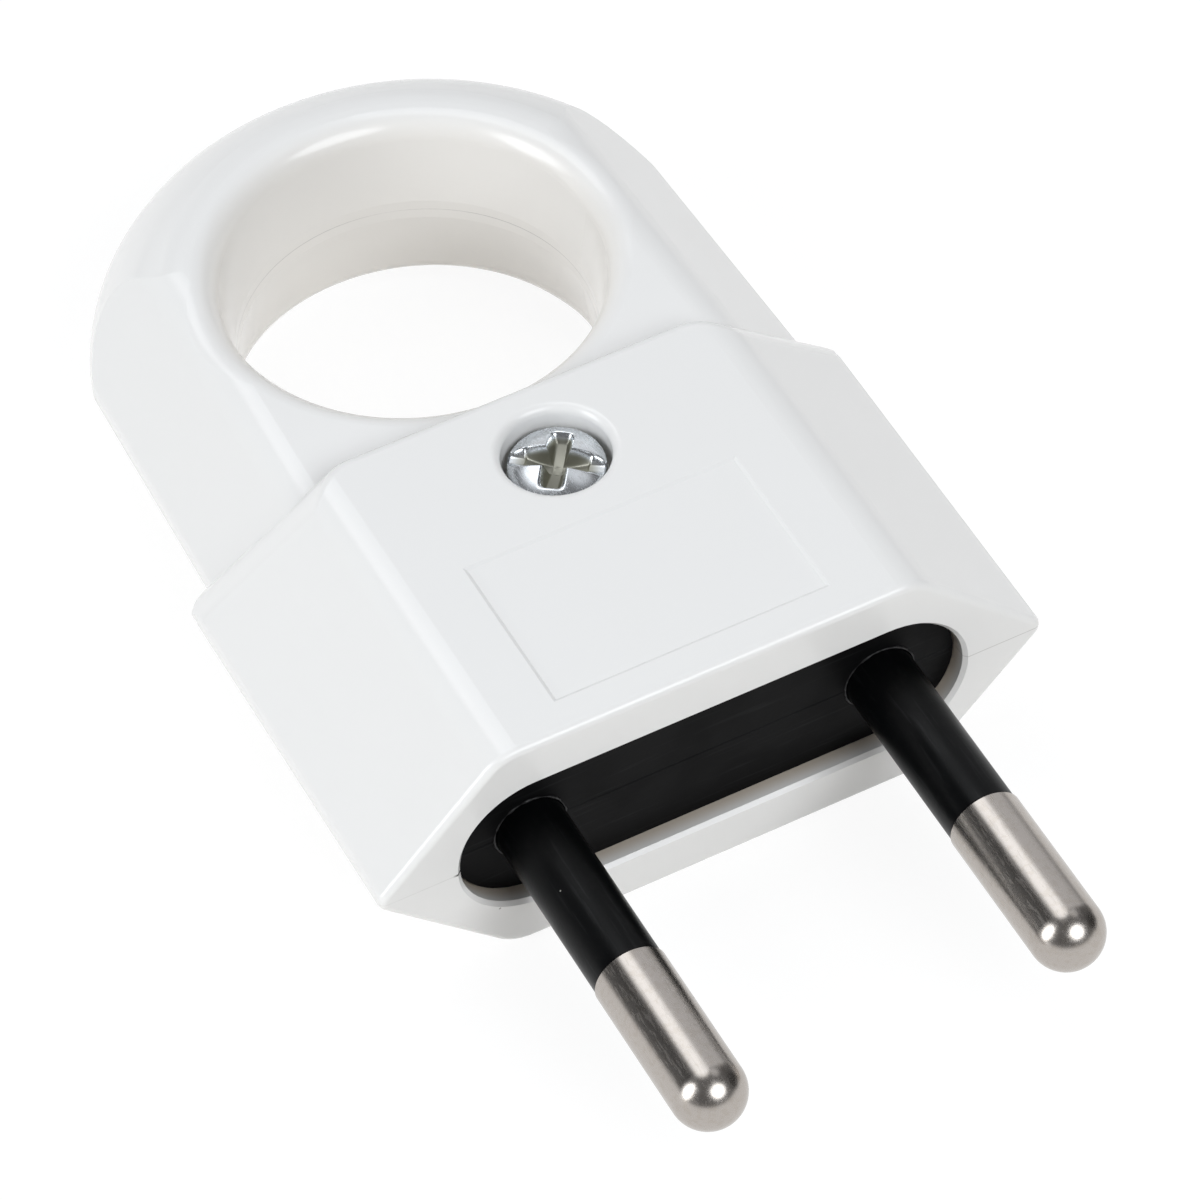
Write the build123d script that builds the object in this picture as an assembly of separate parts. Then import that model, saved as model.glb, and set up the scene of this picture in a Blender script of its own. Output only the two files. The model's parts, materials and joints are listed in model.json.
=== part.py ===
from build123d import *
import math
import os

os.makedirs("parts", exist_ok=True)

# Housing body, in millimetres and degrees
BODY_WIDTH = 35.9
BODY_THICKNESS = 14.0
BODY_SLANT = 45.0
BODY_LENGTH = 22.4
BODY_REAR_DRAFT = 13.4
SHOULDER_RADIUS = 2.6
SHOULDER_EASE = 0.03
EDGE_ROUND = 0.75
SOFT_RADIUS = 2.6
FRONT_ROUND = 0.4
REAR_ROUND = 0.6
OPENING_BREAK = 0.2

# Finger ring
RING_THICKNESS = 11.1
RING_WIDTH = 32.45
RING_SLANT = 48.5
RING_TAPER = 1.8
RING_END_Y = 32.3
RING_END_RADIUS = 16.7
RING_END_TOP_RADIUS = 11.9
RING_END_DRAFT = 7.0
RING_END_ROUND = 3.0
BORE_Y = 32.2
BORE_RADIUS = 9.25
BORE_LAND = 1.2
BORE_FLARE = 0.75
BORE_ROUND = 1.3

# Walls and ribs
WALL = 1.8
FRONT_WALL = 2.2
BORE_WALL = 1.6
RIB = 1.2
PARTITION = 1.6
HOLLOW_LAND = 1.1

# Label recess, left bare
LABEL_WIDTH = 14.8
LABEL_LENGTH = 9.6
LABEL_FRONT = 1.9
LABEL_DEPTH = 0.1
LABEL_DRAFT = 60.0

# Cord inlet on the parting plane at the back of the ring
INLET_WIDTH = 6.4
INLET_HEIGHT = 4.8
INLET_ROUND = 1.2
LABYRINTH_REACH = 1.5
LABYRINTH_ANGLES = (8.0, 31.0, 54.0)

# Pins and sleeves
PIN_SPACING = 19.0
PIN_REACH = 18.9
PIN_RADIUS = 1.9
SLEEVE_RADIUS = 1.74
SLEEVE_REACH = 9.3
NECK_RADIUS = 1.25
NECK_END = 3.2
STEM_RADIUS = 1.65
COLLAR_RADIUS = 2.6
COLLAR_INSET = 1.0
COLLAR_LENGTH = 1.2

# Terminal at the rear end of each pin
TERMINAL_RADIUS = 2.75
TERMINAL_GAP = 0.1
TERMINAL_LENGTH = 7.2
TERMINAL_FLAT_CUT = 0.35
CORE_RADIUS = 1.3
CORE_DEPTH = 6.0
TERMINAL_SCREW_INSET = 3.9
TERMINAL_SCREW_RADIUS = 1.2
TERMINAL_SCREW_TIP = 0.4
TERMINAL_HEAD_RADIUS = 1.9
TERMINAL_HEAD_HEIGHT = 1.3
TERMINAL_SLOT_WIDTH = 0.6
TERMINAL_SLOT_DEPTH = 0.7

# Pin carrier, split on the parting plane
CARRIER_RADIUS = 4.05
CARRIER_SINK = 1.0
CARRIER_END = 8.2
CARRIER_SEAM = 0.06
GROOVE_START = 3.95
GROOVE_DEPTH = 0.8

# Housing screw and nut
SCREW_Y = 16.15
SCREW_RADIUS = 1.45
HEAD_RADIUS = 2.45
HEAD_HEIGHT = 2.1
HEAD_DOME = 0.6
HEAD_SINK = 0.4
HEAD_TURN = -37.0
SLOT_WIDTH = 0.95
SLOT_DEPTH = 0.7
CROSS_LENGTH = 3.8
CROSS_WIDTH = 1.1
CROSS_DEPTH = 1.3
CROSS_TAPER = 9.0
COUNTERBORE_ROUND = 0.45
NUT_WIDTH = 5.5
NUT_THICKNESS = 2.4
NUT_SINK = 1.0
NUT_CHAMFER = 30.0
SHANK_PROUD = 0.3
SHANK_CHAMFER = 0.25
BOSS_RADIUS = 4.2
SPIGOT_RADIUS = 2.7
SPIGOT_DEPTH = 1.2

# Clearances
SEAT_CLEARANCE = 0.1
FIT_CLEARANCE = 0.05
SLEEVE_HOLE_CLEARANCE = 0.12
SCREW_HOLE_CLEARANCE = 0.2
HEAD_CLEARANCE = 0.3
TERMINAL_CLEARANCE = 0.3

# Derived sizes
half_body = BODY_THICKNESS / 2
half_ring = RING_THICKNESS / 2
pin_x = PIN_SPACING / 2
rib_front = GROOVE_START + SEAT_CLEARANCE / 2
rib_rear = rib_front + RIB
groove_end = rib_rear + SEAT_CLEARANCE / 2
collar_end = CARRIER_END - COLLAR_INSET
collar_start = collar_end - COLLAR_LENGTH
terminal_start = CARRIER_END + TERMINAL_GAP
terminal_end = terminal_start + TERMINAL_LENGTH
terminal_flat = TERMINAL_RADIUS - TERMINAL_FLAT_CUT
terminal_screw_y = terminal_end - TERMINAL_SCREW_INSET
ring_back = RING_END_Y + RING_END_RADIUS
body_top_rear = BODY_LENGTH - half_body * math.tan(math.radians(BODY_REAR_DRAFT))
head_seat = half_body - HEAD_SINK - HEAD_HEIGHT
counterbore = HEAD_RADIUS + HEAD_CLEARANCE
nut_bottom = NUT_SINK - half_body
nut_top = nut_bottom + NUT_THICKNESS
shank_end = nut_bottom - SHANK_PROUD
inlet_back = RING_END_Y + math.sqrt(RING_END_RADIUS**2 - (INLET_WIDTH / 2) ** 2)
front_y = (PIN_REACH - inlet_back) / 2
REACH = 200.0


def half_space(sign):
    """A big block above or below the parting plane."""
    side = Align.MIN if sign > 0 else Align.MAX
    return Box(REACH, REACH, REACH, align=(Align.CENTER, Align.CENTER, side))


def along_y(face, start, end):
    """Extrude a section, drawn with height as its second axis, along Y."""
    plane = Plane(origin=(0, start, 0), x_dir=(1, 0, 0), z_dir=(0, -1, 0))
    return extrude(plane * face, amount=end - start, dir=(0, 1, 0))


def about_z(face, y):
    """Revolve a profile of radius and height about an upright axis on the middle plane."""
    placed = Pos(0, y, 0) * (Plane.XZ * face)
    return revolve(placed, Axis((0, y, 0), (0, 0, 1)))


def about_pin(face, x):
    """Revolve a profile of radius and Y position about a pin's axis."""
    return revolve(Pos(x, 0, 0) * face, Axis((x, 0, 0), (0, 1, 0)))


def upright_rod(radius, bottom, top):
    """Round rod between two heights."""
    return Pos(0, 0, bottom) * Cylinder(radius, top - bottom, align=(Align.CENTER, Align.CENTER, Align.MIN))


def closed(*points):
    """Face inside a closed run of straight lines."""
    return make_face(Polyline(*points, close=True))


def side_corner(width, slant):
    """Half width to the sharp corner that the rounded side edge takes off."""
    return width / 2 + EDGE_ROUND * (1 / math.sin(math.radians(slant)) - 1)


def hexagon_section(width, half_height, slant, round_sides=True):
    """Flat hexagon with rounded side edges on the parting plane and soft top and bottom edges."""
    x = side_corner(width, slant)
    flat = x - half_height / math.tan(math.radians(slant))
    right = [(flat, -half_height), (x, 0), (flat, half_height)]
    left = [(-px, pz) for px, pz in reversed(right)]
    face = closed(*right, *left)
    soft = [v for v in face.vertices() if abs(v.Y) > half_height / 2]
    face = fillet(soft, SOFT_RADIUS)
    if not round_sides:
        return face
    sides = [v for v in face.vertices() if abs(v.Y) < EDGE_ROUND / 2]
    return fillet(sides, EDGE_ROUND)


def stadium(radius):
    """Slot shape that runs round both pins."""
    return SlotCenterToCenter(PIN_SPACING, 2 * radius)


def shoulder_plan(height):
    """Plan outline of the body at one height, with rounded shoulders that follow the slanted sides."""
    x = side_corner(BODY_WIDTH, BODY_SLANT) + SHOULDER_EASE - height / math.tan(math.radians(BODY_SLANT))
    back = BODY_LENGTH - height * math.tan(math.radians(BODY_REAR_DRAFT))
    plan = closed((-x, -BODY_LENGTH), (x, -BODY_LENGTH), (x, back), (-x, back))
    rear = [v for v in plan.vertices() if v.Y > 0]
    return Pos(0, 0, height) * fillet(rear, SHOULDER_RADIUS)


def body_block(inset):
    """Raised hexagonal body, or its hollow when an inset is given."""
    section = hexagon_section(BODY_WIDTH, half_body, BODY_SLANT, not inset)
    if inset:
        return along_y(offset(section, -inset), FRONT_WALL, body_top_rear - inset)
    prism = along_y(section, 0, BODY_LENGTH)
    upper = loft([shoulder_plan(0), shoulder_plan(half_body + WALL)], ruled=True)
    return prism & (upper + mirror(upper, Plane.XY))


def ring_end_profile():
    """Half section of the round ring end, upright at the parting plane and curved in to the flat faces."""
    rise = math.radians(RING_END_DRAFT)
    up = (-math.sin(rise), math.cos(rise))
    upper_arc = TangentArc((RING_END_RADIUS, 0), (RING_END_TOP_RADIUS, half_ring), tangent=up)
    lower_arc = mirror(upper_arc, Plane.XZ)
    edge = Polyline(
        (RING_END_TOP_RADIUS, half_ring),
        (0, half_ring),
        (0, -half_ring),
        (RING_END_TOP_RADIUS, -half_ring),
    )
    face = make_face(upper_arc + lower_arc + edge)
    tops = [v for v in face.vertices() if abs(v.X - RING_END_TOP_RADIUS) < FIT_CLEARANCE]
    return fillet(tops, RING_END_ROUND)


def ring_end_hollow(inset):
    """Plain straight-sided hollow that stays the inset inside the round ring end."""
    middle = RING_END_RADIUS - inset
    top = half_ring - inset
    narrow = RING_END_TOP_RADIUS - inset
    return closed(
        (0, -top),
        (narrow, -top),
        (middle, -HOLLOW_LAND),
        (middle, HOLLOW_LAND),
        (narrow, top),
        (0, top),
    )


def ring_block(inset):
    """Tapered arms cut to the round ring end, or their hollow when an inset is given."""
    section = hexagon_section(RING_WIDTH, half_ring, RING_SLANT, not inset)
    if inset:
        section = offset(section, -inset)
    profile = ring_end_hollow(inset) if inset else ring_end_profile()
    prism = along_y(section, SCREW_Y - RING_END_Y, RING_END_RADIUS + WALL)
    right_side = Box(REACH, REACH, REACH, align=(Align.MIN, Align.CENTER, Align.CENTER))
    right = Rot(0, 0, RING_TAPER) * prism & right_side
    arms = right + mirror(right, Plane.YZ)
    front = Box(REACH, RING_END_Y, RING_THICKNESS, align=(Align.CENTER, Align.MAX, Align.CENTER))
    end = about_z(profile, 0) + front
    return Pos(0, RING_END_Y, 0) * (arms & end)


def bore_cutter():
    """Bore of the ring, straight at the parting plane and flared towards both faces."""
    land = BORE_LAND / 2
    slope = BORE_FLARE / (half_ring - land)
    far = half_ring + WALL
    mouth = BORE_RADIUS + slope * (far - land)
    right = [(mouth, -far), (BORE_RADIUS, -land), (BORE_RADIUS, land), (mouth, far)]
    return about_z(closed((0, -far), *right, (0, far)), BORE_Y)


def bored_ring():
    """Ring with its bore and the rounded rims of the bore."""
    ring = ring_block(0) - bore_cutter()
    rim = BORE_RADIUS + BORE_FLARE
    rims = [e for e in ring.edges().filter_by(GeomType.CIRCLE) if abs(e.radius - rim) < FIT_CLEARANCE]
    return fillet(rims, BORE_ROUND)


def housing_form():
    """Outer form of both half shells together."""
    body = body_block(0)
    front = body.faces().sort_by(Axis.Y)[0]
    body = fillet(front.edges(), FRONT_ROUND)
    rear = body.edges().filter_by(lambda e: e.center().Y > body_top_rear - REAR_ROUND)
    flat = half_body - REAR_ROUND
    body = fillet(rear.filter_by(lambda e: abs(e.center().Z) > flat), REAR_ROUND)
    body -= Pos(0, BORE_Y, 0) * Cylinder(BORE_RADIUS, 2 * BODY_THICKNESS)
    return body + bored_ring()


def housing_hollow():
    """Space inside both half shells together."""
    core = Pos(0, BORE_Y, 0) * Cylinder(BORE_RADIUS + BORE_WALL, BODY_THICKNESS)
    return body_block(WALL) + (ring_block(WALL) - core)


def rib_wall(x_start, x_end, y_start, y_end):
    """Upright rib block that is trimmed to the housing later."""
    corner = (Align.MIN, Align.MIN, Align.CENTER)
    return Pos(x_start, y_start, 0) * Box(x_end - x_start, y_end - y_start, BODY_THICKNESS, align=corner)


def labyrinth():
    """Ribs in the ring arms that make each core bend, by turns from the inner and the outer wall."""
    ribs = Part()
    channel_inner = BORE_RADIUS + BORE_WALL
    channel_outer = RING_END_RADIUS - WALL
    for side in (0, 1):
        for step, angle in enumerate(LABYRINTH_ANGLES):
            start = channel_outer - LABYRINTH_REACH if step % 2 else channel_inner - WALL / 2
            length = LABYRINTH_REACH + WALL / 2
            turn = 180 - angle if side else angle
            block = Box(length, RIB, BODY_THICKNESS, align=(Align.MIN, Align.CENTER, Align.CENTER))
            ribs += Pos(0, BORE_Y, 0) * Rot(0, 0, turn) * Pos(start, 0, 0) * block
    return ribs


def inner_ribs():
    """Carrier ribs, terminal cradles, partition and labyrinth, before the pockets open them."""
    width = BODY_WIDTH / 2
    ribs = rib_wall(-width, width, rib_front, rib_rear)
    ribs += rib_wall(-width, width, CARRIER_END - RIB, CARRIER_END)
    ribs += rib_wall(-PARTITION / 2, PARTITION / 2, CARRIER_END + SEAT_CLEARANCE, SCREW_Y)
    cradle_start = terminal_end - RIB - SEAT_CLEARANCE
    inner = pin_x - TERMINAL_RADIUS - RIB
    ribs += rib_wall(inner, width, cradle_start, cradle_start + RIB)
    ribs += rib_wall(-width, -inner, cradle_start, cradle_start + RIB)
    return ribs + labyrinth()


def pockets():
    """Room in the shells for the carrier, its groove, the terminals and their screws."""
    seat = CARRIER_RADIUS + SEAT_CLEARANCE
    room = along_y(stadium(seat), -BODY_LENGTH, rib_front)
    mouth = Plane.XZ * stadium(seat + OPENING_BREAK)
    room += extrude(mouth, amount=-OPENING_BREAK, taper=45)
    room += along_y(stadium(seat - GROOVE_DEPTH), rib_front, rib_rear)
    room += along_y(stadium(seat), rib_rear, CARRIER_END + SEAT_CLEARANCE)
    barrel = closed(
        (0, CARRIER_END),
        (TERMINAL_RADIUS + SEAT_CLEARANCE, CARRIER_END),
        (TERMINAL_RADIUS + SEAT_CLEARANCE, terminal_end + TERMINAL_CLEARANCE),
        (0, terminal_end + TERMINAL_CLEARANCE),
    )
    head_top = terminal_flat + TERMINAL_HEAD_HEIGHT + TERMINAL_CLEARANCE
    head = upright_rod(TERMINAL_HEAD_RADIUS + TERMINAL_CLEARANCE, 0, head_top)
    for side in (-1, 1):
        room += about_pin(barrel, side * pin_x)
        room += Pos(side * pin_x, terminal_screw_y, 0) * head
    return room


def screw_cutter():
    """Clearance hole and counterbore with a rounded rim for the housing screw."""
    hole = SCREW_RADIUS + SCREW_HOLE_CLEARANCE
    rim = half_body - COUNTERBORE_ROUND
    mouth = counterbore + COUNTERBORE_ROUND
    mid = COUNTERBORE_ROUND * math.sqrt(0.5)
    arc = ThreePointArc((counterbore, rim), (mouth - mid, rim + mid), (mouth, half_body))
    rest = Polyline(
        (mouth, half_body),
        (mouth, BODY_THICKNESS),
        (0, BODY_THICKNESS),
        (0, -BODY_THICKNESS),
        (hole, -BODY_THICKNESS),
        (hole, head_seat),
        (counterbore, head_seat),
        (counterbore, rim),
    )
    return about_z(make_face(arc + rest), SCREW_Y)


def inlet_cutter():
    """Rounded slot for a flat two-core cord through the back of the ring."""
    start = BORE_Y + BORE_RADIUS + BORE_WALL
    return along_y(RectangleRounded(INLET_WIDTH, INLET_HEIGHT, INLET_ROUND), start, ring_back + WALL)


def hexagon_prism(width, bottom, top):
    """Hexagon across the given flats on the screw's axis."""
    outline = RegularPolygon(width / 2, 6, major_radius=False)
    return Pos(0, SCREW_Y, bottom) * extrude(outline, amount=top - bottom)


def screw_rod(radius, bottom, top):
    """Round rod on the housing screw's axis."""
    return Pos(0, SCREW_Y, 0) * upright_rod(radius, bottom, top)


def shell_half(form, sign):
    """One half of the housing with its ribs and half of its boss."""
    half = half_space(sign)
    solid = form & half
    ribs = inner_ribs() + screw_rod(BOSS_RADIUS, -half_body, half_body)
    shell = solid - housing_hollow() + (ribs & solid)
    return shell - pockets() - inlet_cutter()


def upper_shell(form):
    """Upper half with label recess, counterbore and spigot."""
    shell = shell_half(form, 1)
    panel = Rectangle(LABEL_WIDTH, LABEL_LENGTH, align=(Align.CENTER, Align.MIN))
    shell -= extrude(Pos(0, LABEL_FRONT, half_body) * panel, amount=-LABEL_DEPTH, taper=LABEL_DRAFT)
    shell += screw_rod(SPIGOT_RADIUS, -SPIGOT_DEPTH, SPIGOT_DEPTH)
    return shell - screw_cutter()


def lower_shell(form):
    """Lower half with the spigot's socket and the nut pocket."""
    shell = shell_half(form, -1)
    shell -= screw_rod(SPIGOT_RADIUS + FIT_CLEARANCE, -SPIGOT_DEPTH - FIT_CLEARANCE, SPIGOT_DEPTH)
    shell -= screw_rod(SCREW_RADIUS + SCREW_HOLE_CLEARANCE, -half_body, 0)
    return shell - hexagon_prism(NUT_WIDTH + 2 * SEAT_CLEARANCE, -BODY_THICKNESS, nut_top)


def pin_room():
    """Hole through the carrier for one pin, its sleeve and its collar."""
    sleeve = SLEEVE_RADIUS + SLEEVE_HOLE_CLEARANCE
    stem = STEM_RADIUS + FIT_CLEARANCE
    collar = COLLAR_RADIUS + FIT_CLEARANCE
    front = collar_start - FIT_CLEARANCE
    rear = collar_end + FIT_CLEARANCE
    return closed(
        (0, 0),
        (sleeve, 0),
        (sleeve, NECK_END),
        (stem, NECK_END),
        (stem, front),
        (collar, front),
        (collar, rear),
        (stem, rear),
        (stem, CARRIER_END + CARRIER_SINK),
        (0, CARRIER_END + CARRIER_SINK),
    )


def carrier_half(sign):
    """One half of the pin carrier with its groove and a bevelled front seam."""
    block = along_y(stadium(CARRIER_RADIUS), CARRIER_SINK, CARRIER_END)
    groove = along_y(stadium(CARRIER_RADIUS + GROOVE_DEPTH), GROOVE_START, groove_end)
    groove -= along_y(stadium(CARRIER_RADIUS - GROOVE_DEPTH), GROOVE_START, groove_end)
    block = (block - groove) & half_space(sign)
    seam = closed((-CARRIER_SEAM, 0), (0, -CARRIER_SEAM), (CARRIER_SEAM, 0), (0, CARRIER_SEAM))
    bevel = extrude(Plane.YZ * seam, amount=BODY_WIDTH / 2, both=True)
    block -= Pos(0, CARRIER_SINK, 0) * bevel
    for side in (-1, 1):
        block -= about_pin(pin_room(), side * pin_x)
    return block


def pin_body(side):
    """Round-tipped pin with a neck under the sleeve, a collar and a drilled terminal end."""
    tip = TangentArc((0, -PIN_REACH), (PIN_RADIUS, PIN_RADIUS - PIN_REACH), tangent=(1, 0))
    outline = Polyline(
        (PIN_RADIUS, PIN_RADIUS - PIN_REACH),
        (PIN_RADIUS, -SLEEVE_REACH),
        (NECK_RADIUS, -SLEEVE_REACH),
        (NECK_RADIUS, NECK_END),
        (STEM_RADIUS, NECK_END),
        (STEM_RADIUS, collar_start),
        (COLLAR_RADIUS, collar_start),
        (COLLAR_RADIUS, collar_end),
        (STEM_RADIUS, collar_end),
        (STEM_RADIUS, terminal_start),
        (TERMINAL_RADIUS, terminal_start),
        (TERMINAL_RADIUS, terminal_end),
        (CORE_RADIUS, terminal_end),
        (CORE_RADIUS, terminal_end - CORE_DEPTH),
        (0, terminal_end - CORE_DEPTH),
        (0, -PIN_REACH),
    )
    pin = about_pin(make_face(tip + outline), side * pin_x)
    level = Box(REACH, TERMINAL_LENGTH, TERMINAL_RADIUS, align=(Align.CENTER, Align.MIN, Align.MIN))
    pin -= Pos(side * pin_x, terminal_start, terminal_flat) * level
    thread = upright_rod(TERMINAL_SCREW_RADIUS + FIT_CLEARANCE, 0, TERMINAL_RADIUS)
    return pin - Pos(side * pin_x, terminal_screw_y, 0) * thread


def sleeve_body(side):
    """Insulating sleeve round the neck of one pin."""
    inner = NECK_RADIUS + FIT_CLEARANCE
    face = closed(
        (inner, -SLEEVE_REACH),
        (SLEEVE_RADIUS, -SLEEVE_REACH),
        (SLEEVE_RADIUS, NECK_END),
        (inner, NECK_END),
    )
    return about_pin(face, side * pin_x)


def terminal_screw(side):
    """Slotted screw that clamps a core in the terminal."""
    top = terminal_flat + TERMINAL_HEAD_HEIGHT
    screw = upright_rod(TERMINAL_SCREW_RADIUS, TERMINAL_SCREW_TIP, terminal_flat)
    screw += upright_rod(TERMINAL_HEAD_RADIUS, terminal_flat, top)
    slot = Box(2 * TERMINAL_HEAD_RADIUS, TERMINAL_SLOT_WIDTH, 2 * TERMINAL_SLOT_DEPTH)
    screw -= Pos(0, 0, top) * slot
    return Pos(side * pin_x, terminal_screw_y, 0) * screw


def housing_screw():
    """Raised-head screw with a full slot and a cross recess."""
    top = head_seat + HEAD_HEIGHT
    dome = TangentArc((0, top), (HEAD_RADIUS, top - HEAD_DOME), tangent=(1, 0))
    rest = Polyline(
        (HEAD_RADIUS, top - HEAD_DOME),
        (HEAD_RADIUS, head_seat),
        (SCREW_RADIUS, head_seat),
        (SCREW_RADIUS, shank_end + SHANK_CHAMFER),
        (SCREW_RADIUS - SHANK_CHAMFER, shank_end),
        (0, shank_end),
        (0, top),
    )
    screw = about_z(make_face(dome + rest), SCREW_Y)
    slot = Box(2 * HEAD_RADIUS, SLOT_WIDTH, 2 * SLOT_DEPTH)
    cross = Rectangle(CROSS_LENGTH, CROSS_WIDTH) + Rectangle(CROSS_WIDTH, CROSS_LENGTH)
    recess = extrude(cross, amount=-CROSS_DEPTH, taper=CROSS_TAPER)
    turn = Pos(0, SCREW_Y, top) * Rot(0, 0, HEAD_TURN)
    return screw - turn * slot - turn * recess


def nut_corners():
    """Turned form that takes the corners off both faces of the nut."""
    face = NUT_WIDTH / 2
    slope = math.tan(math.radians(NUT_CHAMFER))
    drop = WALL * slope
    right = [(face, nut_bottom), (face + WALL, nut_bottom + drop), (face + WALL, nut_top - drop), (face, nut_top)]
    return about_z(closed((0, nut_bottom), *right, (0, nut_top)), SCREW_Y)


def housing_nut():
    """Hexagon nut with chamfered corners, in the pocket of the lower shell."""
    nut = hexagon_prism(NUT_WIDTH, nut_bottom, nut_top) & nut_corners()
    return nut - screw_rod(SCREW_RADIUS + FIT_CLEARANCE, -half_body, half_body)


def main():
    """Build every piece and write one file for each."""
    form = housing_form()
    pieces = {
        "upper_shell": upper_shell(form),
        "lower_shell": lower_shell(form),
        "carrier_upper": carrier_half(1),
        "carrier_lower": carrier_half(-1),
        "pin_left": pin_body(-1),
        "pin_right": pin_body(1),
        "sleeve_left": sleeve_body(-1),
        "sleeve_right": sleeve_body(1),
        "terminal_screw_left": terminal_screw(-1),
        "terminal_screw_right": terminal_screw(1),
        "housing_screw": housing_screw(),
        "housing_nut": housing_nut(),
    }
    place = Pos(0, front_y, half_body)
    for name, piece in pieces.items():
        export_step(place * piece, f"parts/{name}.step")


main()
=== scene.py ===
"""Dressed model of a white flat two-pin plug with a finger ring, on a pale studio floor.

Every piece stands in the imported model's own frame, in metres: +Z up, +Y towards the ring, pins towards -Y.
"""

from __future__ import annotations

import json
import logging
import math
from collections.abc import Iterable, Sequence
from dataclasses import dataclass
from enum import Enum
from typing import Any

import bpy  # noqa: E402
from mathutils import Matrix, Vector  # noqa: E402

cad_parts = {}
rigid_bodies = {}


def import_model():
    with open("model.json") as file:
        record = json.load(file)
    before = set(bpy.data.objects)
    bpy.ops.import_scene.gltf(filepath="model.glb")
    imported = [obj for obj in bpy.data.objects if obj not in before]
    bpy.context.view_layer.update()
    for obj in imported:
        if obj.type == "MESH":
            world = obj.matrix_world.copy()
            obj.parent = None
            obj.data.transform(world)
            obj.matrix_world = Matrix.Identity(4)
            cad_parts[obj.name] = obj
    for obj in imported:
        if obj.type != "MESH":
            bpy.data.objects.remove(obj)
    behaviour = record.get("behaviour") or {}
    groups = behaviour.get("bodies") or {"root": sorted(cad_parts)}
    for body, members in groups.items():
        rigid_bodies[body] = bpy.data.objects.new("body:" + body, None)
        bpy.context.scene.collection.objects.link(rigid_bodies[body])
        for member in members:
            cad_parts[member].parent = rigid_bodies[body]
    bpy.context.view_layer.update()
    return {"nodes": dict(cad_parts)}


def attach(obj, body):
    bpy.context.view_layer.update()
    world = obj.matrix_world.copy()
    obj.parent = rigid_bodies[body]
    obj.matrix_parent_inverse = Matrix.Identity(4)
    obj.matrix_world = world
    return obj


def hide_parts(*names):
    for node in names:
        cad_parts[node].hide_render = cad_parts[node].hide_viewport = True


LOG = logging.getLogger("plug")
MM = 0.001

Colour = tuple[float, float, float]
Point = tuple[float, float]
Triple = tuple[float, float, float]
Socket = bpy.types.NodeSocket


class Slot(Enum):
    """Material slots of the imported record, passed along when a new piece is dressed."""

    BLACK_CARRIER = "black_carrier"
    BLACK_SLEEVE = "black_sleeve"
    NICKEL_PIN = "nickel_pin"
    ZINC_STEEL = "zinc_steel"


class Half(Enum):
    """Half of the housing or of the carrier, above or below the parting plane."""

    UPPER = "upper"
    LOWER = "lower"


def rgba(colour: Colour) -> tuple[float, float, float, float]:
    """Colour with full opacity."""
    return (*colour, 1.0)


def smooth_step(value: float) -> float:
    """Ease a value from 0 to 1."""
    share = min(1.0, max(0.0, value))
    return share * share * (3.0 - 2.0 * share)


def aim(azimuth: float, elevation: float) -> Vector:
    """Unit vector from the plug: azimuth 0 looks from the pin side, in degrees."""
    around, up = math.radians(azimuth), math.radians(elevation)
    return Vector((math.sin(around) * math.cos(up), -math.cos(around) * math.cos(up), math.sin(up)))


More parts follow.
